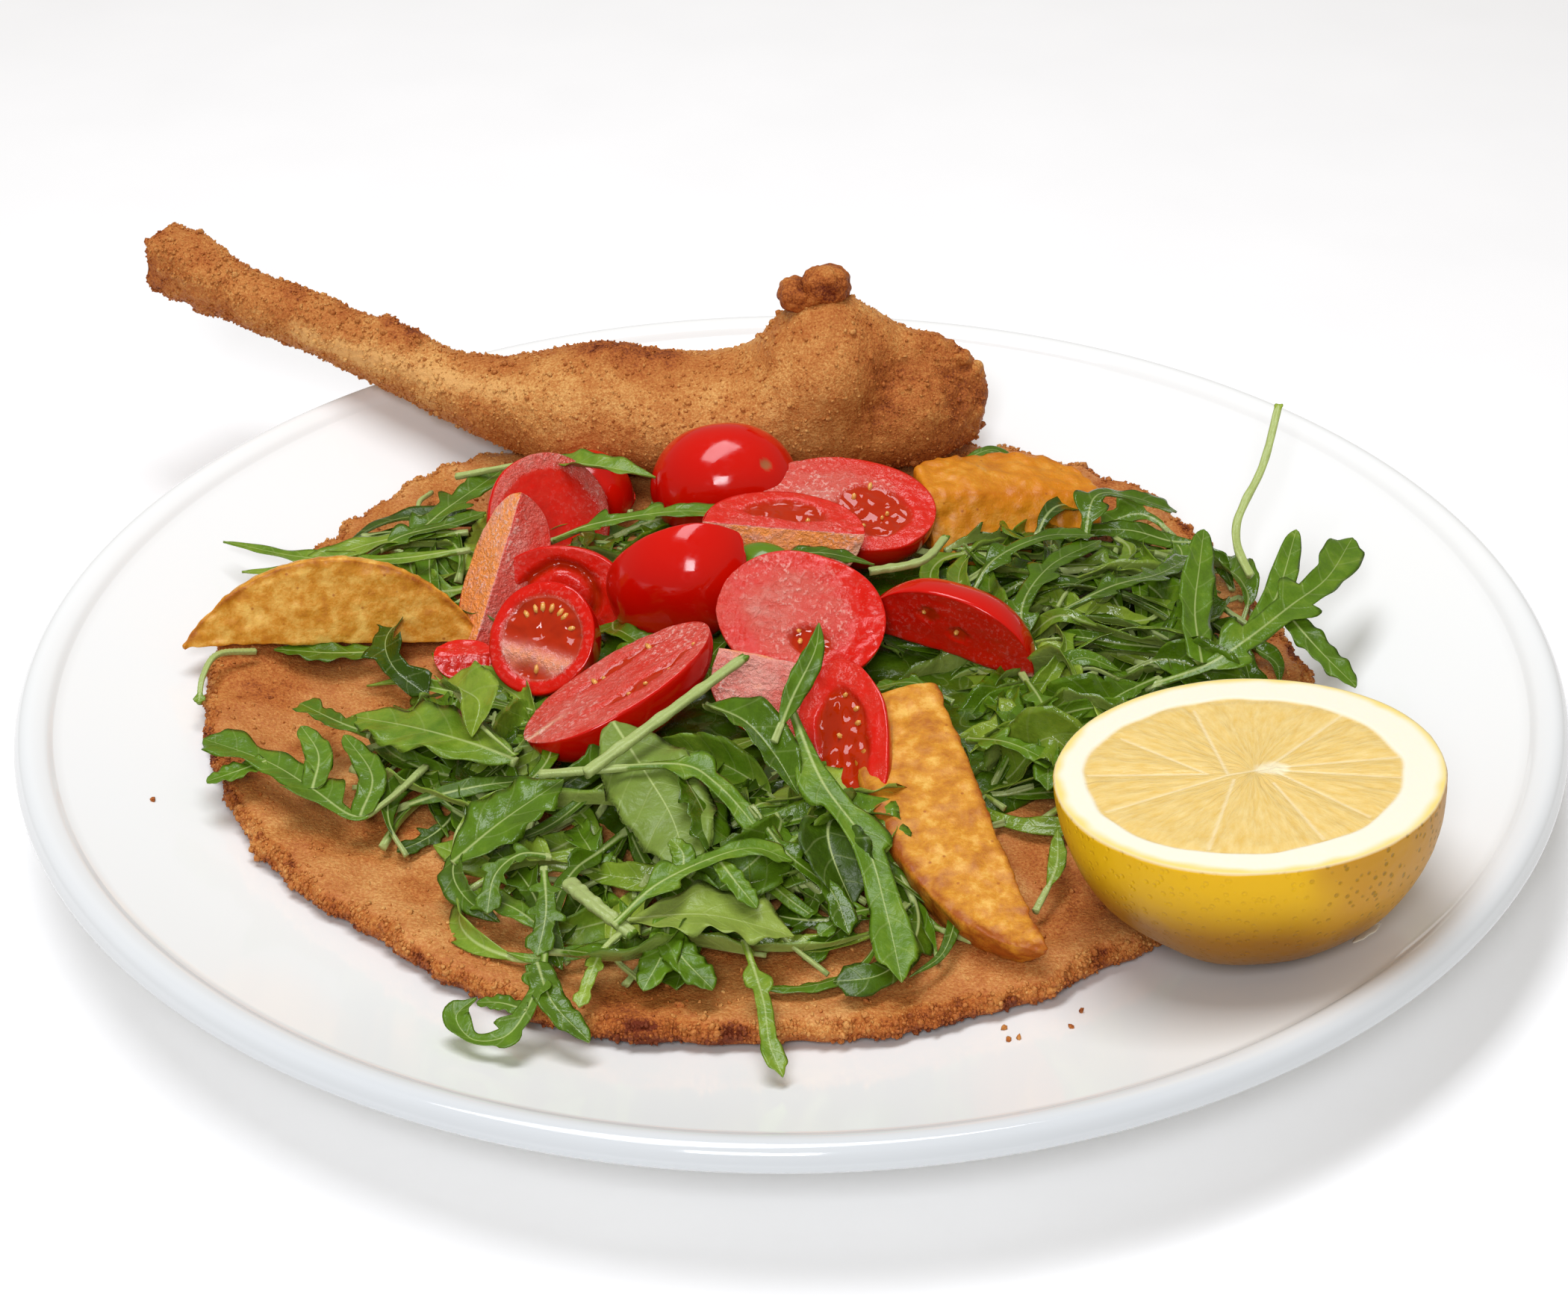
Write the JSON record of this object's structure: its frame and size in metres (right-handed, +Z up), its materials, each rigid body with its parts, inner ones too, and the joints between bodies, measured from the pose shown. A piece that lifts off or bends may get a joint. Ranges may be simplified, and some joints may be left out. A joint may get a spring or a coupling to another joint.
{
  "type": "bone-in schnitzel plate",
  "caption": "Breaded veal chop on the bone, pounded into a wide thin schnitzel, on a white plate with rocket, cut tomatoes, fried potato wedges and half a lemon.",
  "frame": {"origin": "middle of the plate's foot ring, on the surface that the plate stands on", "axes": "+Z up; -Y towards the diner; +X to the right, where the lemon lies; the rib bone points back and left, to -X +Y"},
  "size_m": [0.28, 0.28, 0.0584],
  "materials": {
    "porcelain": "white glazed porcelain, glossy and smooth",
    "breadcrumb_crust": "fried breadcrumb crust, golden brown, rough and slightly greasy",
    "fried_potato": "fried potato, golden with browned edges, thin oily sheen",
    "tomato": "ripe plum tomato, smooth wet skin and moist cut flesh",
    "lemon": "waxy pored lemon peel, white pith and juicy pale flesh",
    "rocket_leaf": "fresh rocket leaves, deep green with pale ribs, partly wet with dressing",
    "cucumber": "moist pale green cucumber flesh with a darker skin"
  },
  "bodies": {
    "root": {"plate": "porcelain", "cutlet": "breadcrumb_crust", "lemon_half": "lemon", "potato_wedge_left": "fried_potato", "potato_wedge_front": "fried_potato", "potato_wedge_back": "fried_potato", "tomato_whole_back": "tomato", "tomato_half_back_right": "tomato", "tomato_wedge_back": "tomato", "tomato_half_left": "tomato", "tomato_half_behind_left": "tomato", "tomato_wedge_left": "tomato", "tomato_half_mid_left": "tomato", "tomato_cross_half_front_left": "tomato", "tomato_wedge_middle": "tomato", "tomato_half_front": "tomato", "tomato_half_centre": "tomato", "tomato_wedge_front": "tomato", "tomato_half_front_right": "tomato", "tomato_wedge_right": "tomato", "tomato_scrap_left": "tomato", "cucumber_piece": "cucumber", "rocket_salad": "rocket_leaf"}
  },
  "joints": []
}
